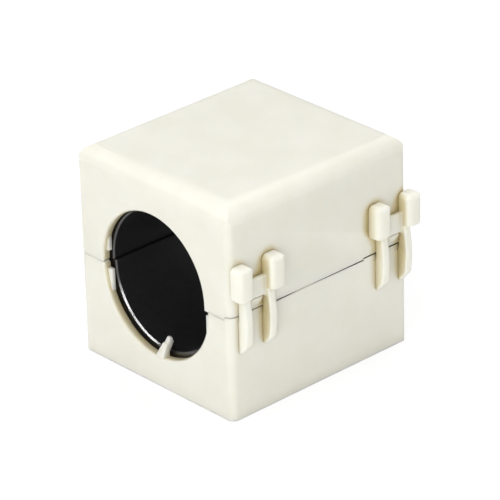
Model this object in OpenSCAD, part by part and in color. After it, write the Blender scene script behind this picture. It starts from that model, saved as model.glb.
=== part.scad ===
// Clip-on ferrite bead: two ferrite half rings in a hinged plastic case, held shut by two sprung latches.
// X runs across the case from the hinge (-X) to the latches (+X), Y along the cable passage, Z up.
// The origin is the centre of the flat base.

/* [Case] */
// Width of the case, from hinge side to latch side
case_w = 42; // [38:0.5:52]
// Length of the case along the cable
case_len = 46; // [42:1:70]
// Thickness of the shell walls
wall = 1.6; // [1.4:0.1:2]
// Space under the core, where only the cradle ribs reach it
floor_space = 0.55; // [0.2:0.05:3]
// Space over the core, where only the cradle ribs reach it
roof_space = 1.9; // [0.2:0.1:4]
// Radius of the upright edges
edge_r = 1.5; // [0.8:0.1:2]
// Radius of the roof's edges
roof_r = 3.9; // [2.4:0.1:4.5]

/* [Core] */
// Width of the cable passage through the core
cable_d = 27; // [20:0.5:29]
// Distance of the lower half's round from the seam, which makes the passage higher than wide
lower_rise = 0.35; // [0.1:0.05:0.8]
// Distance of the upper half's round from the seam
upper_rise = 0.8; // [0.1:0.05:1.2]
// Play between the core's sides and the walls of the case, each way from its place
side_play = 0.6; // [0.2:0.05:0.8]
// Chamfer around the ends of the core
core_chamfer = 0.5; // [0.3:0.1:0.8]
// Chamfer along the outer edges of each half's parting face
parting_chamfer = 1; // [0.8:0.1:1.2]
// Sideways shift of the core's upper half towards the hinge, and of its lower half towards the latches
half_shift = 0.3; // [0:0.05:0.5]
// Air gap between the two halves of the core
core_gap = 0.1; // [0.05:0.05:0.2]
// Play of a core half in its cradle
core_play = 0.1; // [0.05:0.05:0.2]
// Gap between the core's ends and the end walls of the case
core_end_gap = 0.6; // [0.2:0.1:1]

/* [End openings] */
// How much wider the lower shell's openings are than the core's passage, on the radius
lower_reveal = 0.9; // [0.7:0.05:2]
// How much wider the upper shell's openings are than the core's passage, on the radius
upper_reveal = 0.5; // [0.4:0.05:2]
// Chamfer where an opening meets the seam
seam_notch = 0.4; // [0.2:0.1:0.8]
// Radius of the rounded rim of the openings
rim_r = 0.5; // [0.3:0.1:0.8]
// How far the flat edge of a side stop lies inside the core's passage
stop_overlap = 0.3; // [0:0.1:0.6]
// Thickness of the side stops
stop_t = 0.8; // [0.5:0.1:1.2]
// Distance from the seam at which the lower side stops start
lower_stop_start = 1.4; // [1:0.1:2.4]
// Distance from the seam at which the upper side stops start
upper_stop_start = 2.4; // [1:0.1:3]

/* [Cable tooth] */
// Height of the tooth above the rim of the opening
tooth_h = 3.9; // [3.2:0.1:4.5]
// Height of the tooth's front slab above the rim
tooth_slab_h = 2.8; // [2:0.1:3]
// Height of the upright foot of the front slab
tooth_foot_h = 0.6; // [0.3:0.1:1]
// Width of the tooth at its foot
tooth_w = 2.3; // [1.4:0.1:3]
// Width of the tooth at its tip
tooth_tip_w = 0.75; // [0.5:0.05:1.2]
// How far the front slab leans into the passage
tooth_slab_lean = 1; // [0.6:0.1:1.2]
// How far the tip leans into the passage
tooth_lean = 1.75; // [1.5:0.05:2]
// Length of the tip along the passage
tooth_tip_len = 0.55; // [0.4:0.05:1]
// Length of the ledge in front of the tip, and of the bulge behind it
tooth_ledge = 0.4; // [0.2:0.05:0.5]
// Distance of the tooth's upright flank from the middle of the case
tooth_x = 2; // [1:0.1:3]

/* [Seam] */
// Gap between the shells at the ends and on the hinge side
seam_gap = 0.12; // [0.08:0.02:0.2]
// Gap between the shells beside the latches
latch_seam_gap = 0.28; // [0.2:0.02:0.4]
// Step up of the seam on the latch side
side_step = 0.35; // [0.2:0.05:0.5]
// Further step up of the seam beside each latch
land_step = 0.35; // [0.2:0.05:0.5]
// Length of the seam's raised lands beside the latches
land_len = 11.6; // [10:0.1:14]

/* [Latches] */
// Distance of the front latch's middle from the end of the case
front_inset = 5.9; // [4.6:0.05:9]
// Distance of the rear latch's middle from the end of the case
rear_inset = 4.6; // [4.6:0.05:9]
// Clear width between the two arms of a latch
arm_gap = 4.4; // [4:0.1:5]
// Width of an arm
arm_w = 1.7; // [1.4:0.1:2]
// Greatest thickness of an arm, at its root
arm_root_t = 2.3; // [1.9:0.1:2.6]
// Thickness of an arm at its lower end
arm_toe_t = 0.45; // [0.2:0.05:1]
// Thickness of an arm under its finger pad
arm_flex_t = 1.6; // [1.3:0.1:1.7]
// Distance of the arms' lower ends below the seam
arm_drop = 7.1; // [5.5:0.1:8]
// Height of the taper at the arms' lower ends
arm_taper = 2.25; // [1.5:0.05:3]
// Distance below the seam at which an arm is thickest
arm_root_drop = 1.2; // [0.8:0.1:3]
// Gap between the latch and the upper shell
latch_gap = 0.3; // [0.2:0.05:0.4]
// Height of the crossbar
bar_h = 4.1; // [3:0.1:5]
// Distance of the crossbar's outer face from the wall
bar_reach = 1.05; // [0.9:0.05:1.4]
// Height of the crossbar's lower edge above the seam
bar_rise = 3.4; // [3:0.1:4]
// Radius of the window's corners under the crossbar
window_r = 0.6; // [0.3:0.1:1]
// Height of a finger pad
pad_h = 6.6; // [5:0.1:8]
// Width of a finger pad
pad_w = 3.6; // [2.6:0.1:4]
// Distance of the finger pads' outer faces from the wall
pad_reach = 3; // [2.7:0.05:3.3]
// Height of the finger pads' lower edges above the seam
pad_rise = 4.7; // [4.2:0.1:6]
// Radius of the finger pads' upper corners
pad_r = 1; // [0.6:0.1:1.4]
// Radius of the finger pads' upright outer edges
pad_edge_r = 1; // [0.4:0.1:1.2]

/* [Catches] */
// Width of the catch that a crossbar hooks over
catch_w = 3.3; // [2:0.1:3.6]
// Distance that a catch stands out from the upper shell
catch_reach = 0.85; // [0.6:0.05:1]
// Height of a catch
catch_h = 2; // [1.4:0.1:2.4]
// Height of a catch's upright lip
catch_lip = 0.3; // [0.1:0.1:0.8]
// Play between a catch and its crossbar
catch_play = 0.15; // [0.1:0.05:0.3]

/* [Hinge] */
// Length of the hinge strap
strap_len = 30; // [14:1:34]
// Thickness of the hinge strap
strap_t = 0.35; // [0.25:0.05:0.45]
// Space inside the fold of the strap
strap_fold = 0.4; // [0.2:0.1:0.8]
// Distance of the hinge line from the wall
hinge_reach = 1; // [0.8:0.1:1.5]

/* [Inside] */
// Number of cradle ribs in each shell
rib_count = 3; // [2:1:5]
// Thickness of a cradle rib
rib_t = 1.2; // [0.8:0.1:1.6]
// Length of a snap ridge that keeps a core half in its shell
ridge_len = 7; // [4:1:10]
// Distance of the snap ridges from the middle of the case
ridge_y = 12; // [8:1:13]

/* [Hidden] */
$fn = 64;

plastic = "ivory";
ferrite = "dimgray";

// How far a cutting tool runs past the face that it cuts, and how far fused bodies sink into each other
over = 0.5;
// The two ends of the case, and the two sides of the passage
SIDES = [-1, 1];

half_w = case_w / 2;
half_len = case_len / 2;
bore_r = cable_d / 2;
core_r = half_w - wall - half_shift - side_play;
lower_open_r = bore_r + lower_reveal;
upper_open_r = bore_r + upper_reveal;
core_len = case_len - 2 * (wall + core_end_gap);
// Heights of the shells: from the base to the seam, and from the seam to the roof
lower_h = wall + floor_space + core_r + lower_rise;
upper_h = wall + roof_space + core_r + upper_rise;
inner_w = case_w - 2 * wall;
inner_len = case_len - 2 * wall;
// Height of the latch-side seam above the main seam: its plain middle and its lands beside the latches
land_rise = side_step + land_step;
land_from = half_len - land_len;
// Places along the case of the two latches' middles
front_y = front_inset - half_len;
rear_y = half_len - rear_inset;
// Places along the passage of the cradle ribs
rib_pitch = (inner_len - rib_t) / (rib_count + 1);
rib_places = [for (i = [1:rib_count]) i * rib_pitch - (inner_len - rib_t) / 2];

// Outline with its two upper corners rounded: width w, height h, standing on the X axis
module arch_outline(w, h, r) {
    translate([-w / 2, 0]) square([w, h - r]);
    translate([-w / 2 + r, 0]) square([w - 2 * r, h]);
    for (side = SIDES) translate([side * (w / 2 - r), h - r]) circle(r);
}

// Rectangle about the origin with all four corners rounded
module round_rect(w, l, r) {
    square([w - 2 * r, l], center = true);
    square([w, l - 2 * r], center = true);
    for (sx = SIDES) for (sy = SIDES) translate([sx * (w / 2 - r), sy * (l / 2 - r)]) circle(r);
}

// Stands a flat outline up in the X-Z plane and gives it a length along Y, about the origin
module along_y(length) {
    translate([0, length / 2, 0]) rotate([90, 0, 0]) linear_extrude(height = length) children();
}

// Block with rounded upright edges and sharp ends
module upright_block(w, l, h, r) {
    linear_extrude(height = h) round_rect(w, l, r);
}

// Block with a flat foot, rounded upright edges of radius r and roof edges of radius top_r
module roofed_block(w, l, h, r, top_r) {
    intersection() {
        upright_block(w, l, h, r);
        along_y(l) arch_outline(w, h, top_r);
        rotate([0, 0, 90]) along_y(w) arch_outline(l, h, top_r);
    }
}

// Half section of what an end opening of radius r takes away: the hole's radius along X, and along Y the
// way out of the case from the wall's inner face
module rim_section(r) {
    translate([0, -over]) square([r, wall + 2 * over]);
    translate([0, wall - rim_r]) difference() {
        square([r + rim_r, rim_r + over]);
        translate([r + rim_r, 0]) circle(rim_r);
    }
}

// Everything that the end openings of radius r take away from one shell, with the seam at z = 0 and the
// openings' round centred at height rise
module opening_cutter(r, rise) {
    for (end = SIDES) translate([0, end * (half_len - wall), 0]) {
        translate([0, 0, rise]) rotate([end * -90, 0, 0]) rotate_extrude() rim_section(r);
        for (side = SIDES) {
            translate([0, 0, min(rise, -over)]) linear_extrude(height = max(rise + over, over - rise))
                mirror([side > 0 ? 0 : 1, 0]) mirror([0, end > 0 ? 0 : 1]) rim_section(r);
            translate([side * r, 0, 0]) rotate([0, 45, 0])
                cube([seam_notch * sqrt(2), 3 * wall, seam_notch * sqrt(2)], center = true);
        }
    }
}

// Stops beside the passage, set back from the rim of an opening of radius r, with a flat edge that reaches
// in front of the core. The seam is at z = 0, the opening's round is centred at height rise, and the stops
// have their feet at height foot.
module side_stops(r, rise, foot) {
    edge = bore_r - stop_overlap;
    for (end = SIDES) translate([0, end * (half_len - wall + stop_t / 2), 0]) intersection() {
        along_y(stop_t) translate([0, rise]) circle(r + over);
        for (side = SIDES) translate([side * (edge + r) - r, -stop_t, foot])
            cube([2 * r, 2 * stop_t, 2 * r]);
    }
}

// Ribs that carry the round back of a core half, reaching past the cavity's walls. The seam is at z = 0,
// and the core's round is centred at height rise, below the seam or above it.
module cradle_ribs(rise) {
    side = sign(rise);
    for (y = rib_places) translate([0, y, 0]) along_y(rib_t) difference() {
        translate([-half_w, side > 0 ? core_r / 2 : -case_w - core_r / 2]) square([case_w, case_w]);
        translate([-side * half_shift, rise]) circle(core_r + core_play);
    }
}

// Ridges on the side walls that snap over the chamfered edges of a core half, with the seam at z = 0
module snap_ridges(rise) {
    reach = core_r - parting_chamfer + 2 * core_play;
    root = half_w;
    middle = -rise * half_shift;
    for (side = SIDES) for (y = [-ridge_y, ridge_y]) translate([0, y, 0]) along_y(ridge_len) polygon([
        [side * root, rise * seam_gap / 2],
        [middle + side * (reach + seam_gap / 2), rise * seam_gap / 2],
        [middle + side * (reach + parting_chamfer), rise * parting_chamfer],
        [side * root, rise * 2 * parting_chamfer]
    ]);
}

// Stepped block under the seam of the latch side, level with one shell's rim: a land beside each latch,
// and between the lands a rim that closes towards its middle. The seam is at z = 0.
module latch_side_step(rise) {
    far = half_len + over;
    land = land_rise + rise * latch_seam_gap / 2;
    edge = side_step + rise * latch_seam_gap / 2;
    translate([half_w - wall, 0, 0]) rotate([90, 0, 90]) linear_extrude(height = wall + over) polygon([
        [-far, -over], [far, -over], [far, land],
        [land_from, land], [land_from, edge],
        [0, side_step + rise * seam_gap / 2],
        [-land_from, edge], [-land_from, land],
        [-far, land]
    ]);
}

// Tooth that grips the cable's jacket: a claw that stands on the rim of an end opening and leans over
// the core's edge into the passage
module cable_tooth(end) {
    rim = lower_h - lower_rise - lower_open_r;
    foot = rim - over;
    clear = lower_h - lower_rise - bore_r + core_play;
    slab = rim + tooth_slab_h;
    tip = rim + tooth_h;
    intersection() {
        // side view, with the outer face of the case at 0
        rotate([0, 0, 90]) mirror([end > 0 ? 1 : 0, 0, 0]) translate([-half_len, 0, 0])
            along_y(case_w) polygon([
                [0, foot],
                [0, rim + tooth_foot_h],
                [tooth_slab_lean, slab],
                [tooth_slab_lean + tooth_ledge, slab],
                [tooth_lean, tip],
                [tooth_lean + tooth_tip_len, tip],
                [tooth_lean + tooth_tip_len + tooth_ledge, slab],
                [wall, clear],
                [wall, foot]
            ]);
        // front view
        along_y(case_len) polygon([
            [tooth_x - tooth_w, foot],
            [tooth_x, foot],
            [tooth_x, tip],
            [tooth_x - tooth_tip_w, tip]
        ]);
    }
}

// Lower half of the case, with its cradle, its stops and a cable tooth at each end
module lower_shell() color(plastic) {
    difference() {
        intersection() {
            upright_block(case_w, case_len, lower_h + land_rise, edge_r);
            union() {
                translate([-case_w, -case_len, 0]) cube([2 * case_w, 2 * case_len, lower_h - seam_gap / 2]);
                translate([0, 0, lower_h]) latch_side_step(-1);
            }
        }
        difference() {
            translate([-inner_w / 2, -inner_len / 2, wall]) cube([inner_w, inner_len, lower_h]);
            translate([0, 0, lower_h]) cradle_ribs(-lower_rise);
            translate([0, 0, lower_h]) snap_ridges(-1);
        }
        translate([half_shift, 0, lower_h]) opening_cutter(lower_open_r, -lower_rise);
    }
    translate([half_shift, 0, lower_h])
        side_stops(lower_open_r, -lower_rise, -lower_stop_start - 2 * lower_open_r);
    for (end = SIDES) cable_tooth(end);
}

// Wedge that a latch's crossbar hooks over, with its middle at y = 0 and the seam at z = 0
module catch() {
    top = bar_rise - catch_play;
    translate([half_w, 0, 0]) along_y(catch_w) polygon([
        [-wall / 2, top],
        [catch_reach, top],
        [catch_reach, top - catch_lip],
        [0, top - catch_h],
        [-wall / 2, top - catch_h]
    ]);
}

// Upper half of the case, with its roof, cradle, stops and catches
module upper_shell() color(plastic) {
    difference() {
        translate([0, 0, lower_h - over]) roofed_block(case_w, case_len, upper_h + over, edge_r, roof_r);
        difference() {
            translate([0, 0, lower_h - 2 * over]) intersection() {
                along_y(inner_len) arch_outline(inner_w, upper_h - wall + 2 * over, roof_r - wall);
                rotate([0, 0, 90]) along_y(inner_w)
                    arch_outline(inner_len, upper_h - wall + 2 * over, roof_r - wall);
            }
            translate([0, 0, lower_h]) cradle_ribs(upper_rise);
            translate([0, 0, lower_h]) snap_ridges(1);
        }
        translate([-half_shift, 0, lower_h]) opening_cutter(upper_open_r, upper_rise);
        translate([-case_w, -case_len, 0]) cube([2 * case_w, 2 * case_len, lower_h + seam_gap / 2]);
        translate([0, 0, lower_h]) latch_side_step(1);
    }
    translate([-half_shift, 0, lower_h]) side_stops(upper_open_r, upper_rise, upper_stop_start);
    for (y = [front_y, rear_y]) translate([0, y, lower_h]) catch();
}

// Section through the ferrite ring: radius along X, length along Y, with chamfered corners
module ring_section() {
    end = core_len / 2;
    polygon([
        [bore_r, end - core_chamfer], [bore_r + core_chamfer, end],
        [core_r - core_chamfer, end], [core_r, end - core_chamfer],
        [core_r, core_chamfer - end], [core_r - core_chamfer, -end],
        [bore_r + core_chamfer, -end], [bore_r, core_chamfer - end]
    ]);
}

// U-shaped half ring of ferrite below the seam at z = 0, its round centred rise below it, with every edge
// chamfered
module core_half(rise) {
    difference() {
        translate([0, 0, -rise]) {
            rotate([90, 0, 0]) rotate_extrude() ring_section();
            linear_extrude(height = rise) for (side = SIDES)
                mirror([side > 0 ? 0 : 1, 0]) ring_section();
        }
        translate([-2 * core_r, -core_len, -core_gap / 2]) cube([4 * core_r, 2 * core_len, 2 * core_r]);
        for (side = SIDES) translate([side * core_r, 0, 0]) rotate([0, 45, 0])
            cube([parting_chamfer * sqrt(2), 2 * core_len, parting_chamfer * sqrt(2)], center = true);
    }
}

module lower_core() color(ferrite) translate([half_shift, 0, lower_h]) core_half(lower_rise);

module upper_core() color(ferrite)
    translate([-half_shift, 0, lower_h]) mirror([0, 0, 1]) core_half(upper_rise);

// Thin strap folded double along the seam, with its bend at the hinge line
module hinge_strap() color(plastic) {
    fold_r = strap_t + strap_fold / 2;
    translate([-half_w, 0, lower_h]) along_y(strap_len) difference() {
        union() {
            translate([-hinge_reach, -fold_r]) square([hinge_reach, 2 * fold_r]);
            translate([-hinge_reach, 0]) circle(fold_r);
        }
        translate([-hinge_reach, -fold_r + strap_t]) square([hinge_reach, 2 * (fold_r - strap_t)]);
        translate([-hinge_reach, 0]) circle(fold_r - strap_t);
    }
}

// Side view of a latch arm: rooted on the wall at x = 0 and free of it above the seam at z = 0, with a
// slightly rounded back that is thickest at the root
module arm_outline() {
    top = pad_rise + pad_h / 2;
    back_rise = pad_rise + arm_root_drop;
    back_fall = arm_root_t - arm_flex_t;
    back_r = (back_rise * back_rise + back_fall * back_fall) / (2 * back_fall);
    intersection() {
        polygon([
            [0, -arm_drop],
            [arm_toe_t, -arm_drop],
            [arm_root_t, -arm_drop + arm_taper],
            [arm_root_t, top],
            [latch_gap, top],
            [latch_gap, -seam_gap],
            [0, -seam_gap - latch_gap]
        ]);
        translate([arm_root_t - back_r, -arm_root_drop]) circle(back_r);
    }
}

// Finger pad at the upper end of an arm, its lower inner corner at y = 0, z = 0: rounded at its top and
// along its upright outer edges
module finger_pad() {
    depth = pad_reach - latch_gap;
    translate([latch_gap, pad_w / 2, 0]) intersection() {
        linear_extrude(height = pad_h) rotate([0, 0, -90]) arch_outline(pad_w, depth, pad_edge_r);
        rotate([90, 0, 90]) linear_extrude(height = depth) arch_outline(pad_w, pad_h, pad_r);
        along_y(pad_w) arch_outline(2 * depth, pad_h, pad_r);
    }
}

// H-shaped latch: two arms, a crossbar and two pads, standing on the wall at x = 0 with the seam at z = 0
module latch() {
    for (side = SIDES) {
        translate([0, side * (arm_gap + arm_w) / 2, 0]) along_y(arm_w) arm_outline();
        mirror([0, side < 0 ? 1 : 0, 0]) translate([0, arm_gap / 2, pad_rise]) finger_pad();
    }
    translate([latch_gap, 0, bar_rise]) rotate([90, 0, 90]) linear_extrude(height = bar_reach - latch_gap) {
        translate([-(arm_gap + arm_w) / 2, 0]) square([arm_gap + arm_w, bar_h]);
        // fillets in the window's upper corners
        for (side = SIDES) difference() {
            translate([side > 0 ? arm_gap / 2 - window_r : -arm_gap / 2, -window_r])
                square([window_r, window_r]);
            translate([side * (arm_gap / 2 - window_r), -window_r]) circle(window_r);
        }
    }
}

module front_latch() color(plastic) translate([half_w, front_y, lower_h]) latch();

module rear_latch() color(plastic) translate([half_w, rear_y, lower_h]) latch();

lower_shell();
upper_shell();
lower_core();
upper_core();
hinge_strap();
front_latch();
rear_latch();
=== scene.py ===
"""Clip-on ferrite bead.

An ivory hinged case with two sprung latches stands round two black ferrite half rings.
"""
import logging
import math
from dataclasses import dataclass, replace
from enum import Enum

import bmesh
import bpy
from mathutils import Matrix, Vector


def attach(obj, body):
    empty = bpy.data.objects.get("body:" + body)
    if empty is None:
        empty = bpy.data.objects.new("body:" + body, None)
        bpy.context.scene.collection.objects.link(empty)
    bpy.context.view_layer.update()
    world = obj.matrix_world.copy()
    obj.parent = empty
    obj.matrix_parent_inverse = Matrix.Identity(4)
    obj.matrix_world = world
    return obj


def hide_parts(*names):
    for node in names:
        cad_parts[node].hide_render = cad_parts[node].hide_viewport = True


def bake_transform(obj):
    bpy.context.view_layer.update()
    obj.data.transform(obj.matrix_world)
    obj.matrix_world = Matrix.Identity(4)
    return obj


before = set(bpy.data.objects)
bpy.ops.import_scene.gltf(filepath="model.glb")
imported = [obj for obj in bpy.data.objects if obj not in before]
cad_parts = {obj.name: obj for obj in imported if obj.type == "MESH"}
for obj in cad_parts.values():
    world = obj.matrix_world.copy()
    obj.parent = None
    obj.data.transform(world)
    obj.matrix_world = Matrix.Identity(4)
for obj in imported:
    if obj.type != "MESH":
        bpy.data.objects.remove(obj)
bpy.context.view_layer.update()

LOG = logging.getLogger("bead")
MM = 0.001
SIDE_WALL = 21 * MM  # from the middle to the case's side walls
SEAM = 21 * MM  # height where the two shells meet

Tone = tuple[float, float, float]
Span = tuple[float, float]
Socket = bpy.types.NodeSocket

FLOAT, COLOR, VECTOR = "NodeSocketFloat", "NodeSocketColor", "NodeSocketVector"
INTEGER, GEOMETRY, MATERIAL = "NodeSocketInt", "NodeSocketGeometry", "NodeSocketMaterial"
MIX_SHARE, MIX_TONE, MIX_OTHER, MIX_RESULT = 0, 6, 7, 2  # a Mix node's colour sockets
WHITE, BLACK = (1, 1, 1, 1), (0, 0, 0, 1)


class Body(Enum):
    """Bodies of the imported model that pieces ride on."""

    BASE = "base"
    LID = "lid"
    FRONT = "front_latch"
    REAR = "rear_latch"


class Slot(Enum):
    """Material slots of the record."""

    PLASTIC = "case_plastic"
    FERRITE = "ferrite"


class Tree:
    """Short way to write a node tree."""

    def __init__(self, tree: bpy.types.NodeTree) -> None:
        """Keeps the tree that nodes are added to."""
        self.tree = tree

    def add(self, kind: str, ins: dict | None = None, out: int | str = 0,
            **settings: object) -> Socket | None:
        """Adds a node, fills its inputs and returns one of its outputs.

        Args:
            kind: The node's type name.
            ins: Input name or number to a socket that feeds it, or to its value.
            out: Name or number of the output to return.
            settings: Properties of the node itself.

        Returns:
            The chosen output socket, or None from a node that has no output.
        """
        node = self.tree.nodes.new(kind)
        for name, value in settings.items():
            setattr(node, name, value)
        for key, value in (ins or {}).items():
            socket = node.inputs[key]
            if isinstance(value, Socket):
                self.tree.links.new(value, socket)
            else:
                socket.default_value = value
        return node.outputs[out] if len(node.outputs) else None

    def math(self, operation: str, *values: object) -> Socket:
        """Adds a Math node and returns its result."""
        return self.add("ShaderNodeMath", dict(enumerate(values)), operation=operation)

    def ramp(self, value: Socket, start: tuple, end: tuple = (0.0, 1.0),
             smooth: bool = False) -> Socket:
        """Adds a node that carries one span over to another and stops at its ends.

        Args:
            value: The number to carry over.
            start: The span that the number comes from.
            end: The span that it goes to.
            smooth: Whether it eases in and out.

        Returns:
            The new number.
        """
        kind = "SMOOTHSTEP" if smooth else "LINEAR"
        return self.add("ShaderNodeMapRange", {
            "Value": value, "From Min": start[0], "From Max": start[1],
            "To Min": end[0], "To Max": end[1]}, out="Result", interpolation_type=kind)

    def mix(self, share: Socket, tone: object, other: object) -> Socket:
        """Adds a node that blends two colours by a share."""
        return self.add("ShaderNodeMix", {MIX_SHARE: share, MIX_TONE: tone, MIX_OTHER: other},
                        out=MIX_RESULT, data_type="RGBA")

    def place(self) -> tuple[Socket, Socket, Socket]:
        """Adds nodes that read a point's place on the object.

        Returns:
            The place's X, Y and Z.
        """
        point = self.add("ShaderNodeTexCoord", out="Object")
        across, along, height = self.add("ShaderNodeSeparateXYZ", {"Vector": point}).node.outputs
        return across, along, height

    def group(self, group: bpy.types.NodeTree, ins: dict[str, object]) -> dict[str, Socket]:
        """Adds a node that holds a shader group, fills its inputs and returns its outputs."""
        made = self.add("ShaderNodeGroup", ins, node_tree=group).node
        return {socket.name: socket for socket in made.outputs}

    def leave(self, outs: dict[str, Socket]) -> bpy.types.NodeTree:
        """Feeds the outputs of a group and returns the group."""
        self.add("NodeGroupOutput", outs)
        return self.tree


def open_group(name: str, kind: str, inputs: dict[str, tuple],
               outputs: dict[str, str]) -> tuple[Tree, dict[str, Socket]]:
    """Makes an empty node group with named inputs and outputs.

    Args:
        name: Name of the group.
        kind: Type name of the node tree.
        inputs: Input name to (socket type, default value or None).
        outputs: Output name to socket type.

    Returns:
        The tree to add nodes to, and its inputs by name.
    """
    group = bpy.data.node_groups.new(name, kind)
    for label, (socket_type, default) in inputs.items():
        socket = group.interface.new_socket(label, in_out="INPUT", socket_type=socket_type)
        if default is not None:
            socket.default_value = default
    for label, socket_type in outputs.items():
        group.interface.new_socket(label, in_out="OUTPUT", socket_type=socket_type)
    entry = group.nodes.new("NodeGroupInput")
    return Tree(group), {socket.name: socket for socket in entry.outputs if socket.name}


def grain_group() -> bpy.types.NodeTree:
    """Builds the shader group for the fine grain and slow waviness of a moulded or pressed skin.

    Returns:
        A group with the outputs Height and Mottle.
    """
    tree, given = open_group(
        "skin_grain", "ShaderNodeTree",
        {"Grain size": (FLOAT, 0.2 * MM), "Grain depth": (FLOAT, 1.0),
         "Wave size": (FLOAT, 10 * MM), "Wave depth": (FLOAT, 1.0),
         "Mottle size": (FLOAT, 4 * MM)},
        {"Height": FLOAT, "Mottle": FLOAT},
    )
    place = tree.add("ShaderNodeTexCoord", out="Object")

    def noise(size: Socket, detail: float) -> Socket:
        """Adds noise whose features are as large as size."""
        return tree.add("ShaderNodeTexNoise", {
            "Vector": place, "Scale": tree.math("DIVIDE", 1.0, size),
            "Detail": detail, "Roughness": 0.55})

    grain = tree.math("MULTIPLY", noise(given["Grain size"], detail=3.0), given["Grain depth"])
    wave = tree.math("MULTIPLY", noise(given["Wave size"], detail=2.0), given["Wave depth"])
    mottle = noise(given["Mottle size"], detail=4.0)
    return tree.leave({"Height": tree.math("ADD", grain, wave), "Mottle": mottle})


def tint_group() -> bpy.types.NodeTree:
    """Builds the shader group that blends two tones by a mask with a chosen contrast.

    Returns:
        A group with the output Color.
    """
    tree, given = open_group(
        "two_tone", "ShaderNodeTree",
        {"Tone": (COLOR, WHITE), "Other tone": (COLOR, BLACK), "Mask": (FLOAT, 0.5),
         "From": (FLOAT, 0.4), "To": (FLOAT, 0.6)},
        {"Color": COLOR},
    )
    share = tree.ramp(given["Mask"], (given["From"], given["To"]))
    return tree.leave({"Color": tree.mix(share, given["Tone"], given["Other tone"])})


def rim_shade_group() -> bpy.types.NodeTree:
    """Builds the shader group that finds the rims of the case's two end openings, for painted
    shade.

    There the dark core lies close behind thin plastic, and shade is painted on the rims towards
    it.
    The openings of the two shells are half rounds on short straight legs, shifted sideways by
    equal and opposite steps.

    Returns:
        A group with the output Share, the share of painted shade, which grows inwards along the
        rims and falls to 0 over their rounded edges.
    """
    tree, given = open_group(
        "rim_painted_shade", "ShaderNodeTree",
        {"Seam height": (FLOAT, SEAM), "Lower radius": (FLOAT, 14.4 * MM),
         "Upper radius": (FLOAT, 14 * MM), "Lower rise": (FLOAT, 0.35 * MM),
         "Upper rise": (FLOAT, 0.8 * MM), "Sideways shift": (FLOAT, 0.3 * MM),
         "Spread": (FLOAT, 0.5 * MM), "Inner play": (FLOAT, 0.08 * MM),
         "Outer face": (FLOAT, 23 * MM), "Inner face": (FLOAT, 21.4 * MM),
         "Least": (FLOAT, 0.25)},
        {"Share": FLOAT},
    )
    across, along, height = tree.place()
    above = tree.math("GREATER_THAN", height, given["Seam height"])
    other_way = tree.math("MULTIPLY", given["Sideways shift"], -1.0)
    radius, rise, shift = (tree.ramp(above, (0.0, 1.0), (lower, upper)) for lower, upper in (
        (given["Lower radius"], given["Upper radius"]),
        (given["Lower rise"], given["Upper rise"]),
        (given["Sideways shift"], other_way)))
    aside = tree.math("SUBTRACT", across, shift)
    from_seam = tree.math("ABSOLUTE", tree.math("SUBTRACT", height, given["Seam height"]))
    off_centre = tree.math("MAXIMUM", tree.math("SUBTRACT", from_seam, rise), 0.0)
    reach = tree.math("SQRT", tree.math("ADD", tree.math("MULTIPLY", aside, aside),
                                        tree.math("MULTIPLY", off_centre, off_centre)))
    beyond = tree.math("SUBTRACT", reach, radius)
    fading = tree.ramp(beyond, (0.0, given["Spread"]), (1.0, 0.0), smooth=True)
    outside = tree.math("GREATER_THAN", tree.math("ADD", beyond, given["Inner play"]), 0.0)
    inwards = tree.ramp(tree.math("ABSOLUTE", along),
                        (given["Outer face"], given["Inner face"]), (given["Least"], 1.0))
    share = tree.math("MULTIPLY", tree.math("MULTIPLY", fading, outside), inwards)
    return tree.leave({"Share": share})


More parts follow.
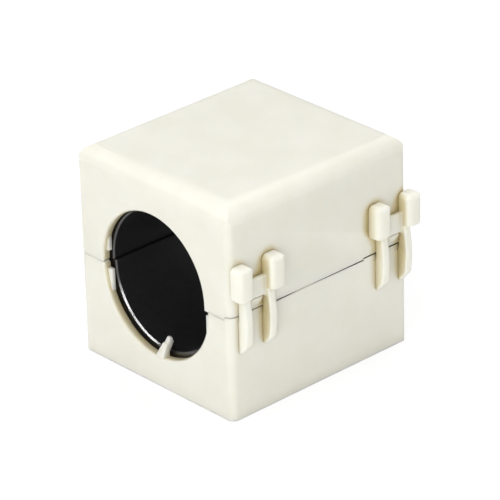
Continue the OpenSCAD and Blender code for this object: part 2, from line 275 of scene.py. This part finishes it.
def painted_shade_group() -> bpy.types.NodeTree:
    """Builds the shader group that paints shade into a tone where ambient occlusion finds it
    enclosed.

    It also paints a darker shade into the open seam slot on the latch side. The slot closes where
    the shells touch, and its painted shade is fainter ahead of the front latch. Faces that look up
    and the front end wall keep only the least share of the painted shade, which fades out close to
    the table.

    Returns:
        A group with the output Color.
    """
    tree, given = open_group(
        "painted_crevice_shade", "ShaderNodeTree",
        {"Tone": (COLOR, WHITE), "Painted shade tone": (COLOR, BLACK), "Painted slot shade": (COLOR, BLACK),
         "Reach": (FLOAT, 2 * MM), "From": (FLOAT, 0.06), "To": (FLOAT, 0.8),
         "Shut from": (FLOAT, 0.35), "Shut to": (FLOAT, 0.65),
         "Clear height": (FLOAT, 4 * MM), "Slot height": (FLOAT, SEAM),
         "Slot band": (FLOAT, 0.8 * MM), "Slot side": (FLOAT, 20.6 * MM),
         "Touch place": (FLOAT, -4 * MM), "Touch from": (FLOAT, 1 * MM),
         "Touch half length": (FLOAT, 5 * MM), "Front slot from": (FLOAT, -16.5 * MM),
         "Front slot to": (FLOAT, -12.5 * MM), "End wall from": (FLOAT, -22.5 * MM),
         "End wall to": (FLOAT, -18.5 * MM), "Upward from": (FLOAT, 0.8),
         "Least": (FLOAT, 0.25), "Rim shade share": (FLOAT, 0.0)},
        {"Color": COLOR},
    )
    across, along, height = tree.place()
    # Painted slot shade: the seam slot on the latch side, dark where ambient occlusion finds it
    # shut.
    from_slot = tree.math("ABSOLUTE", tree.math("SUBTRACT", height, given["Slot height"]))
    in_band = tree.math("LESS_THAN", from_slot, given["Slot band"])
    on_side = tree.math("GREATER_THAN", across, given["Slot side"])
    from_touch = tree.math("ABSOLUTE", tree.math("SUBTRACT", along, given["Touch place"]))
    apart = tree.ramp(from_touch, (given["Touch from"], given["Touch half length"]), smooth=True)
    past_front = tree.ramp(along, (given["Front slot from"], given["Front slot to"]),
                           (given["Least"], 1.0))
    in_slot = tree.math("MULTIPLY", tree.math("MULTIPLY", in_band, on_side),
                        tree.math("MULTIPLY", apart, past_front))

    # Painted shade: ambient occlusion within the reach turns the tone towards the shade tone.
    open_share = tree.add("ShaderNodeAmbientOcclusion", {"Distance": given["Reach"]},
                          out="AO", samples=8)
    closed = tree.math("SUBTRACT", 1.0, open_share)
    share = tree.ramp(closed, (given["From"], given["To"]), smooth=True)
    facing = tree.add("ShaderNodeSeparateXYZ",
                      {"Vector": tree.add("ShaderNodeTexCoord", out="Normal")}, out="Z")
    upward = tree.ramp(facing, (given["Upward from"], 1.0), (1.0, given["Least"]))
    inside_front = tree.ramp(along, (given["End wall from"], given["End wall to"]),
                             (given["Least"], 1.0))
    share = tree.math("MULTIPLY", tree.math("MULTIPLY", share, upward), inside_front)
    share = tree.math("MAXIMUM", share, given["Rim shade share"])
    off_table = tree.ramp(height, (0.0, given["Clear height"]), smooth=True)
    mixed = tree.mix(tree.math("MULTIPLY", share, off_table), given["Tone"], given["Painted shade tone"])

    shut = tree.ramp(closed, (given["Shut from"], given["Shut to"]))
    slotted = tree.mix(tree.math("MULTIPLY", shut, in_slot), mixed, given["Painted slot shade"])
    return tree.leave({"Color": slotted})


def bare_material(name: str) -> tuple[bpy.types.Material, Tree]:
    """Makes a material without nodes.

    Args:
        name: The material's name.

    Returns:
        The material, and the tree to add its nodes to.
    """
    made = bpy.data.materials.new(name)
    made.use_nodes = True
    made.node_tree.nodes.clear()
    return made, Tree(made.node_tree)


@dataclass(frozen=True)
class FinishGroups:
    """The shader groups that the finishes share."""

    grain: bpy.types.NodeTree
    tint: bpy.types.NodeTree
    # The last two groups paint shade into the colour: in enclosed places and the seam slot, and
    # along the rims.
    painted_shade: bpy.types.NodeTree
    rim_shade: bpy.types.NodeTree


@dataclass(frozen=True)
class Finish:
    """A surface finish: two tones, gloss, grain, and painted shade in enclosed places and the seam
    slot.

    Sizes, the bump and the depth of light are in metres. Grain and wave depths are shares of
    the bump. Light goes into the surface only where subsurface is above 0.
    """

    name: str
    tone: Tone
    other_tone: Tone
    mottle_size: float
    roughness: Span
    grain_size: float
    grain_depth: float
    wave_size: float
    wave_depth: float
    bump: float
    gloss_mask: Span = (0.35, 0.65)
    ior: float = 1.5
    subsurface: float = 0.0
    light_depth: float = 1.4 * MM
    light_tint: Tone = (1.0, 0.97, 0.88)
    # Painted shade: the tone of enclosed places, the tone of the seam slot, and how far and how
    # strongly it reaches.
    painted_shade_tone: Tone = (0.0, 0.0, 0.0)
    painted_slot_shade: Tone = (0.0, 0.0, 0.0)
    shade_reach: float = 2.5 * MM
    shade_range: Span = (0.10, 0.45)

    def material(self, groups: FinishGroups) -> bpy.types.Material:
        """Makes the finish's material.

        Args:
            groups: The shared shader groups. The painted shade of the rims is used by translucent
                finishes only.

        Returns:
            The material.
        """
        made, tree = bare_material(self.name)
        skin = tree.group(groups.grain, {
            "Grain size": self.grain_size, "Grain depth": self.grain_depth,
            "Wave size": self.wave_size, "Wave depth": self.wave_depth,
            "Mottle size": self.mottle_size})
        tone = tree.group(groups.tint, {
            "Tone": (*self.tone, 1), "Other tone": (*self.other_tone, 1),
            "Mask": skin["Mottle"]})
        # Painted shade in enclosed places, in the seam slot and along the rims.
        shade_inputs = {
            "Tone": tone["Color"], "Painted shade tone": (*self.painted_shade_tone, 1),
            "Painted slot shade": (*self.painted_slot_shade, 1), "Reach": self.shade_reach,
            "From": self.shade_range[0], "To": self.shade_range[1]}
        if self.subsurface:
            shade_inputs["Rim shade share"] = tree.group(groups.rim_shade, {})["Share"]
        colour = tree.group(groups.painted_shade, shade_inputs)["Color"]
        gloss = tree.ramp(skin["Mottle"], self.gloss_mask, self.roughness)
        bump = tree.add("ShaderNodeBump", {"Height": skin["Height"], "Distance": self.bump})
        shader = tree.add("ShaderNodeBsdfPrincipled", {
            "Base Color": colour, "Roughness": gloss, "Normal": bump, "IOR": self.ior,
            "Subsurface Weight": self.subsurface, "Subsurface Radius": self.light_tint,
            "Subsurface Scale": self.light_depth})
        tree.add("ShaderNodeOutputMaterial", {"Surface": shader})
        return made


# The tan deep tone is painted shade in enclosed places, the near-black slot tone painted shade in
# the seam slot.
IVORY = Finish(
    name="ivory_plastic", tone=(0.85, 0.838, 0.742), other_tone=(0.87, 0.858, 0.772),
    mottle_size=6 * MM, roughness=(0.36, 0.46), grain_size=0.25 * MM, grain_depth=0.35,
    wave_size=9 * MM, wave_depth=1.0, bump=0.03 * MM, subsurface=0.8,
    painted_shade_tone=(0.66, 0.555, 0.30), painted_slot_shade=(0.03, 0.025, 0.012))
# The latches' copy of the case's plastic: its lighter tone is painted light on the thin parts, and
# its painted shade reaches further.
IVORY_LATCH_LIT = replace(
    IVORY, name="ivory_latch_lit_plastic", tone=(0.90, 0.888, 0.785), other_tone=(0.91, 0.90, 0.805),
    shade_reach=5 * MM, shade_range=(0.12, 0.65), painted_shade_tone=(0.57, 0.48, 0.25),
    painted_slot_shade=(0.57, 0.48, 0.25))
PRESSED = Finish(
    name="pressed_ferrite", tone=(0.010, 0.010, 0.011), other_tone=(0.016, 0.016, 0.017),
    mottle_size=0.5 * MM, roughness=(0.38, 0.5), grain_size=0.12 * MM, grain_depth=0.8,
    wave_size=3 * MM, wave_depth=0.6, bump=0.01 * MM, ior=1.6)
GROUND = Finish(
    name="ground_ferrite", tone=(0.012, 0.012, 0.013), other_tone=(0.03, 0.03, 0.032),
    mottle_size=0.2 * MM, roughness=(0.12, 0.18), grain_size=0.08 * MM, grain_depth=1.0,
    wave_size=2 * MM, wave_depth=0.4, bump=0.001 * MM, ior=2.0)


def add_object(name: str, data: bpy.types.ID) -> bpy.types.Object:
    """Puts a new object into the scene.

    Args:
        name: The object's name.
        data: Its mesh, lamp or camera.

    Returns:
        The object.
    """
    obj = bpy.data.objects.new(name, data)
    bpy.context.scene.collection.objects.link(obj)
    return obj


def declare(obj: bpy.types.Object, node: str) -> None:
    """Hides the CAD node that a finished piece stands for, and reports the piece.

    Args:
        obj: The piece.
        node: The CAD node that it replaces.
    """
    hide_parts(node)
    LOG.info("%s for %s: %d faces", obj.name, node, len(obj.data.polygons))


def bake_modifiers(obj: bpy.types.Object) -> None:
    """Turns a piece and its live modifiers into a plain mesh in place.

    Args:
        obj: The piece.
    """
    graph = bpy.context.evaluated_depsgraph_get()
    made = bpy.data.meshes.new_from_object(obj.evaluated_get(graph), depsgraph=graph)
    obj.modifiers.clear()
    obj.data = made
    made.name = obj.name


def shade(obj: bpy.types.Object, sharp: float) -> None:
    """Shades a piece smooth apart from edges sharper than an angle in degrees."""
    obj.data.shade_smooth()
    obj.data.set_sharp_from_angle(angle=math.radians(sharp))


def attach_tree(obj: bpy.types.Object, tree: bpy.types.NodeTree,
                values: dict[str, object]) -> None:
    """Puts a Geometry Nodes tree on a piece and sets its inputs by their identifiers.

    Args:
        obj: The piece.
        tree: The tree.
        values: Input name to value.
    """
    modifier = obj.modifiers.new(tree.name, "NODES")
    modifier.node_group = tree
    for item in tree.interface.items_tree:
        if item.in_out == "INPUT" and item.name in values:
            modifier[item.identifier] = values[item.name]


def merged_copy(node: str, weld: float = 0.002 * MM, flat_within: float = 0.5) -> bpy.types.Object:
    """Copies a CAD node's mesh and merges its doubled points and flat facets.

    Args:
        node: The CAD node.
        weld: Points closer than this become one.
        flat_within: Faces within this angle in degrees become one.

    Returns:
        The copy, in the scene.
    """
    shape = bmesh.new()
    shape.from_mesh(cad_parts[node].data)
    bmesh.ops.remove_doubles(shape, verts=shape.verts, dist=weld)
    bmesh.ops.dissolve_limit(shape, angle_limit=math.radians(flat_within), verts=shape.verts,
                             edges=shape.edges, delimit={"NORMAL"})
    bmesh.ops.recalc_face_normals(shape, faces=shape.faces)
    name = node + "_moulding"
    mesh = bpy.data.meshes.new(name)
    shape.to_mesh(mesh)
    shape.free()
    return add_object(name, mesh)


@dataclass
class CaseShell:
    """One shell of the case, from a merged copy of its CAD node with its sharp edges broken."""

    node: str
    body: Body
    edge_break: float = 0.14 * MM
    edge_steps: int = 3
    break_from: float = 28.0  # degrees between faces
    sharp_from: float = 35.0

    def build(self, plastic: bpy.types.Material) -> bpy.types.Object:
        """Makes the shell and dresses it.

        Args:
            plastic: The case's material.

        Returns:
            The piece.
        """
        obj = merged_copy(self.node)
        edges = obj.modifiers.new("edges", "BEVEL")
        edges.width = self.edge_break
        edges.segments = self.edge_steps
        edges.limit_method = "ANGLE"
        edges.angle_limit = math.radians(self.break_from)
        bake_modifiers(obj)
        shade(obj, self.sharp_from)
        obj.data.materials.clear()
        obj.data.materials.append(plastic)
        declare(obj, self.node)
        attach(obj, self.body.value)
        return obj


def soften_tree() -> bpy.types.NodeTree:
    """Builds the Geometry Nodes tree that eases a fine mesh's edges, as on a small moulding.

    Returns:
        The tree.
    """
    tree, given = open_group(
        "eased_edges", "GeometryNodeTree",
        {"Geometry": (GEOMETRY, None), "Passes": (INTEGER, 6), "Material": (MATERIAL, None)},
        {"Geometry": GEOMETRY},
    )
    blur = tree.tree.nodes.new("GeometryNodeBlurAttribute")
    blur.data_type = "FLOAT_VECTOR"
    value = next(socket for socket in blur.inputs if socket.enabled and socket.type == "VECTOR")
    tree.tree.links.new(tree.add("GeometryNodeInputPosition"), value)
    tree.tree.links.new(given["Passes"], blur.inputs["Iterations"])
    eased = next(socket for socket in blur.outputs if socket.enabled)
    moved = tree.add("GeometryNodeSetPosition", {"Geometry": given["Geometry"], "Position": eased})
    real = tree.add("GeometryNodeRealizeInstances", {"Geometry": moved})
    done = tree.add("GeometryNodeSetMaterial", {"Geometry": real, "Material": given["Material"]})
    return tree.leave({"Geometry": done})


@dataclass
class SprungLatch:
    """One H-shaped latch with eased edges.

    Its back faces move before the easing: the roots sink into the wall, and the rest closes up
    to the wall that it stands off from.
    """

    node: str
    body: Body
    voxel: float = 0.12 * MM
    passes: int = 8
    wall: float = SIDE_WALL
    within: float = 0.01 * MM  # play in telling the back faces from the rest
    sink: float = 0.3 * MM
    stand_off: float = 0.3 * MM
    close_up: float = 0.28 * MM
    bend_from: float = 20.2 * MM
    bend_to: float = 25.0 * MM

    def build(self, ease: bpy.types.NodeTree, plastic: bpy.types.Material) -> bpy.types.Object:
        """Makes the latch and dresses it.

        Args:
            ease: The eased_edges tree.
            plastic: The latches' material, a lighter copy of the case's plastic with painted
                light.

        Returns:
            The piece.
        """
        obj = merged_copy(self.node)
        for point in obj.data.vertices:
            if point.co.x < self.wall + self.within:
                point.co.x -= self.sink
            elif point.co.x < self.wall + self.stand_off + self.within:
                point.co.x -= self.close_up
        fine = obj.modifiers.new("fine", "REMESH")
        fine.mode = "VOXEL"
        fine.voxel_size = self.voxel
        attach_tree(obj, ease, {"Passes": self.passes, "Material": plastic})
        bake_modifiers(obj)
        obj.data.shade_smooth()
        declare(obj, self.node)
        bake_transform(obj)
        return obj


def sweep_tree() -> bpy.types.NodeTree:
    """Builds the Geometry Nodes tree of a channel: a chamfered bar swept along a U.

    The U opens upwards with its two ends at the origin's height, then it is turned and moved.

    Returns:
        The tree.
    """
    tree, given = open_group(
        "swept_channel", "GeometryNodeTree",
        {"Bend radius": (FLOAT, 16 * MM), "Leg": (FLOAT, 1 * MM), "Thickness": (FLOAT, 5 * MM),
         "Length": (FLOAT, 40 * MM), "Chamfer": (FLOAT, 0.5 * MM), "Bend steps": (INTEGER, 24),
         "Turn": (VECTOR, (0, 0, 0)), "Place": (VECTOR, (0, 0, 0)), "Material": (MATERIAL, None)},
        {"Geometry": GEOMETRY},
    )
    radius, leg = given["Bend radius"], given["Leg"]
    low = tree.math("MULTIPLY", tree.math("ADD", radius, leg), -1.0)
    left = tree.math("MULTIPLY", radius, -1.0)
    corners = [tree.add("ShaderNodeCombineXYZ", {"X": x, "Z": z}) for x, z in (
        (left, 0.0), (left, low), (radius, low), (radius, 0.0))]
    line = tree.add("GeometryNodeCurvePrimitiveLine")
    points = tree.add("GeometryNodeResampleCurve", {"Curve": line, "Count": len(corners)})
    switch = tree.tree.nodes.new("GeometryNodeIndexSwitch")
    switch.data_type = "VECTOR"
    while len(switch.index_switch_items) < len(corners):
        switch.index_switch_items.new()
    tree.tree.links.new(tree.add("GeometryNodeInputIndex"), switch.inputs["Index"])
    for number, corner in enumerate(corners, start=1):
        tree.tree.links.new(corner, switch.inputs[number])
    bent = tree.add("GeometryNodeSetPosition", {
        "Geometry": points, "Position": switch.outputs[0]})
    path = tree.add("GeometryNodeFilletCurve", {
        "Curve": bent, "Radius": radius, "Count": given["Bend steps"],
        "Limit Radius": True}, mode="POLY")
    section = tree.add("GeometryNodeCurvePrimitiveQuadrilateral", {
        "Width": given["Thickness"], "Height": given["Length"]})
    cut = tree.add("GeometryNodeFilletCurve", {
        "Curve": section, "Radius": given["Chamfer"], "Count": 1,
        "Limit Radius": True}, mode="POLY")
    swept = tree.add("GeometryNodeCurveToMesh", {
        "Curve": path, "Profile Curve": cut, "Fill Caps": True})
    turned = tree.add("GeometryNodeTransform", {"Geometry": swept, "Rotation": given["Turn"]})
    placed = tree.add("GeometryNodeTransform", {"Geometry": turned, "Translation": given["Place"]})
    real = tree.add("GeometryNodeRealizeInstances", {"Geometry": placed})
    done = tree.add("GeometryNodeSetMaterial", {"Geometry": real, "Material": given["Material"]})
    return tree.leave({"Geometry": done})


def grow(name: str, tree: bpy.types.NodeTree, values: dict[str, object]) -> bpy.types.Object:
    """Runs a Geometry Nodes tree with its named inputs set, and keeps the result as a plain mesh.

    Args:
        name: Name of the new piece.
        tree: The tree.
        values: Input name to value.

    Returns:
        The piece, without a modifier.
    """
    obj = add_object(name, bpy.data.meshes.new(name))
    attach_tree(obj, tree, values)
    bake_modifiers(obj)
    return obj


@dataclass
class CoreHalf:
    """Half of the ferrite core, a chamfered U-shaped ring with ground ends."""

    name: str
    node: str
    body: Body
    rise: float  # from the seam to the middle of the half round
    shift: float  # sideways
    above: bool
    bore: float = 13.5 * MM  # radius
    outer: float = 18.5 * MM  # radius
    length: float = 41.6 * MM
    seam: float = SEAM
    gap: float = 0.04 * MM
    chamfer: float = 0.28 * MM
    bend_steps: int = 40
    sharp_from: float = 30.0  # degrees between faces
    ground_from: float = 0.3  # share of a face's normal that points along the bore

    def build(self, tree: bpy.types.NodeTree, ferrite: bpy.types.Material,
              ground: bpy.types.Material) -> bpy.types.Object:
        """Makes the half ring and dresses it.

        Args:
            tree: The swept_channel tree.
            ferrite: Material of the pressed surface.
            ground: Material of the ground faces.

        Returns:
            The piece.
        """
        side = 1 if self.above else -1
        obj = grow(self.name, tree, {
            "Bend radius": (self.bore + self.outer) / 2, "Leg": self.rise - self.gap / 2,
            "Thickness": self.outer - self.bore, "Length": self.length,
            "Chamfer": self.chamfer, "Bend steps": self.bend_steps,
            "Turn": (0.0, math.pi if self.above else 0.0, 0.0),
            "Place": (self.shift, 0.0, self.seam + side * self.gap / 2), "Material": ferrite})
        shade(obj, self.sharp_from)
        obj.data.materials.append(ground)
        for face in obj.data.polygons:
            if abs(face.normal.y) > self.ground_from:
                face.material_index = 1
        declare(obj, self.node)
        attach(obj, self.body.value)
        return obj


@dataclass
class HingeStrap:
    """The thin strap folded double behind the seam."""

    length: float = 30 * MM
    thickness: float = 0.35 * MM
    space: float = 0.4 * MM  # between the two layers
    reach: float = 1 * MM  # from the wall to the hinge line
    sink: float = 0.12 * MM
    chamfer: float = 0.1 * MM
    wall: float = -SIDE_WALL
    seam: float = SEAM
    bend_band: float = 0.24 * MM
    bend_steps: int = 32
    sharp_from: float = 40.0  # degrees between faces

    def build(self, tree: bpy.types.NodeTree, plastic: bpy.types.Material) -> bpy.types.Object:
        """Makes the strap and dresses it.

        Args:
            tree: The swept_channel tree.
            plastic: The case's material.

        Returns:
            The piece.
        """
        obj = grow("hinge_fold", tree, {
            "Bend radius": (self.space + self.thickness) / 2, "Leg": self.reach + self.sink,
            "Thickness": self.thickness, "Length": self.length, "Chamfer": self.chamfer,
            "Bend steps": self.bend_steps, "Turn": (0.0, math.pi / 2, 0.0),
            "Place": (self.wall + self.sink, 0.0, self.seam), "Material": plastic})
        shade(obj, self.sharp_from)
        declare(obj, "hinge_strap")
        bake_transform(obj)
        return obj


@dataclass(frozen=True)
class Lamp:
    """One rectangular area lamp that points at the object, turned about its own axis."""

    name: str
    place: tuple[float, float, float]
    width: float
    height: float
    power: float
    turn: float = 0.0  # degrees

    def build(self, aim: Vector) -> None:
        """Hangs the lamp.

        Args:
            aim: The point that it shines at.
        """
        data = bpy.data.lights.new(self.name, "AREA")
        data.shape = "RECTANGLE"
        data.size, data.size_y = self.width, self.height
        data.energy = self.power
        facing = (aim - Vector(self.place)).to_track_quat("-Z", "Y")
        spin = Matrix.Rotation(math.radians(self.turn), 4, "Z")
        place = Matrix.Translation(self.place)
        add_object(self.name, data).matrix_world = place @ facing.to_matrix().to_4x4() @ spin


LAMPS = (
    Lamp("key", (-0.40, -0.90, 0.38), width=0.60, height=0.60, power=0.3),
    Lamp("front", (0.62, -0.75, 0.20), width=0.60, height=0.60, power=3.5),
    Lamp("fill", (0.80, 0.50, 0.32), width=0.60, height=0.60, power=1.5),
    Lamp("top", (0.00, -0.10, 1.00), width=0.80, height=0.80, power=2.6),
    Lamp("back", (-0.15, 0.35, 0.93), width=0.80, height=0.80, power=4.0),
    Lamp("strip_low", (0.43, -0.82, 0.39), width=0.60, height=0.035, power=1.3, turn=123.0),
    Lamp("strip_high", (-0.12, -0.70, 0.66), width=0.82, height=0.035, power=1.8, turn=169.0),
    Lamp("strip_end", (-0.80, -0.32, 0.44), width=0.81, height=0.035, power=1.0, turn=-135.0),
)


@dataclass
class Studio:
    """Camera, lamps, floor and background.

    Angles are in degrees, the lens and its sensor in millimetres, and the rest in metres.
    """

    azimuth: float = 47.67
    elevation: float = 26.964
    roll: float = -1.628
    distance: float = 0.70598
    aim_z: float = 21 * MM
    lens: float = 266.4
    sensor: float = 36.0
    shift: Span = (0.0127, -0.0071)
    clip: Span = (0.01, 20.0)
    lamps: tuple[Lamp, ...] = LAMPS
    floor_reach: float = 3.0
    floor_drop: float = 0.02 * MM
    floor_card: Tone = (0.80, 0.80, 0.79)  # as the object sees it
    floor_shade: Tone = (0.3, 0.3, 0.3)  # takes the object's shadow for the camera
    floor_glow: float = 0.75  # strength, added for the camera alone
    world_fill: float = 0.2  # strength, as the object sees it

    def build(self) -> None:
        """Makes the camera, lamps, floor and world."""
        self.hang_camera()
        for lamp in self.lamps:
            lamp.build(Vector((0, 0, self.aim_z)))
        self.lay_floor()
        self.fill_world()

    def hang_camera(self) -> None:
        """Makes the scene's camera."""
        az, el, roll = (math.radians(v) for v in (self.azimuth, self.elevation, self.roll))
        ahead = Vector((-math.sin(az) * math.cos(el), math.cos(az) * math.cos(el), -math.sin(el)))
        right = ahead.cross(Vector((0, 0, 1))).normalized()
        up = right.cross(ahead)
        side = right * math.cos(roll) + up * math.sin(roll)
        top = up * math.cos(roll) - right * math.sin(roll)
        data = bpy.data.cameras.new("camera")
        data.lens = self.lens
        data.sensor_width = self.sensor
        data.shift_x, data.shift_y = self.shift
        data.clip_start, data.clip_end = self.clip
        obj = add_object("camera", data)
        place = Vector((0, 0, self.aim_z)) - ahead * self.distance
        turn = Matrix((side, top, -ahead)).transposed().to_4x4()
        obj.matrix_world = Matrix.Translation(place) @ turn
        bpy.context.scene.camera = obj

    def lay_floor(self) -> None:
        """Makes the plain pale floor, which glows white for the camera and keeps shadows."""
        mesh = bpy.data.meshes.new("floor")
        far = self.floor_reach
        mesh.from_pydata([(-far, -far, 0), (far, -far, 0), (far, far, 0), (-far, far, 0)],
                         [], [(0, 1, 2, 3)])
        obj = add_object("floor", mesh)
        obj.location.z = -self.floor_drop
        made, tree = bare_material("floor_white")
        card = tree.add("ShaderNodeBsdfDiffuse", {"Color": (*self.floor_card, 1)})
        shadow = tree.add("ShaderNodeBsdfDiffuse", {"Color": (*self.floor_shade, 1)})
        glow = tree.add("ShaderNodeEmission", {"Color": WHITE, "Strength": self.floor_glow})
        both = tree.add("ShaderNodeAddShader", {0: shadow, 1: glow})
        seen = tree.add("ShaderNodeLightPath", out="Is Camera Ray")
        shown = tree.add("ShaderNodeMixShader", {0: seen, 1: card, 2: both})
        tree.add("ShaderNodeOutputMaterial", {"Surface": shown})
        mesh.materials.append(made)

    def fill_world(self) -> None:
        """Makes the plain pale world that fills the shadows and is white for the camera."""
        world = bpy.data.worlds.new("studio")
        world.use_nodes = True
        world.node_tree.nodes.clear()
        tree = Tree(world.node_tree)
        fill = tree.add("ShaderNodeBackground", {"Color": WHITE, "Strength": self.world_fill})
        white = tree.add("ShaderNodeBackground", {"Color": WHITE, "Strength": 1.0})
        seen = tree.add("ShaderNodeLightPath", out="Is Camera Ray")
        shown = tree.add("ShaderNodeMixShader", {0: seen, 1: fill, 2: white})
        tree.add("ShaderNodeOutputWorld", {"Surface": shown})
        bpy.context.scene.world = world


def main() -> None:
    """Builds everything in order."""
    logging.basicConfig(level=logging.INFO, format="%(message)s")
    bpy.context.scene.view_settings.view_transform = "Standard"
    Studio().build()
    groups = FinishGroups(grain_group(), tint_group(), painted_shade_group(), rim_shade_group())
    # The latches get the lighter copy of the ivory, with painted light.
    ivory, lit_latch_ivory, pressed, ground = (
        finish.material(groups) for finish in (IVORY, IVORY_LATCH_LIT, PRESSED, GROUND))
    for shell in (CaseShell("lower_shell", Body.BASE), CaseShell("upper_shell", Body.LID)):
        shell.build(ivory)
    ease = soften_tree()
    for latch in (SprungLatch("front_latch", Body.FRONT), SprungLatch("rear_latch", Body.REAR)):
        latch.build(ease, lit_latch_ivory)
    channel = sweep_tree()
    for half in (
            CoreHalf("core_lower_half", "lower_core", Body.BASE,
                     rise=0.35 * MM, shift=0.3 * MM, above=False),
            CoreHalf("core_upper_half", "upper_core", Body.LID,
                     rise=0.8 * MM, shift=-0.3 * MM, above=True)):
        half.build(channel, pressed, ground)
    HingeStrap().build(channel, ivory)


if __name__ == "__main__":
    main()
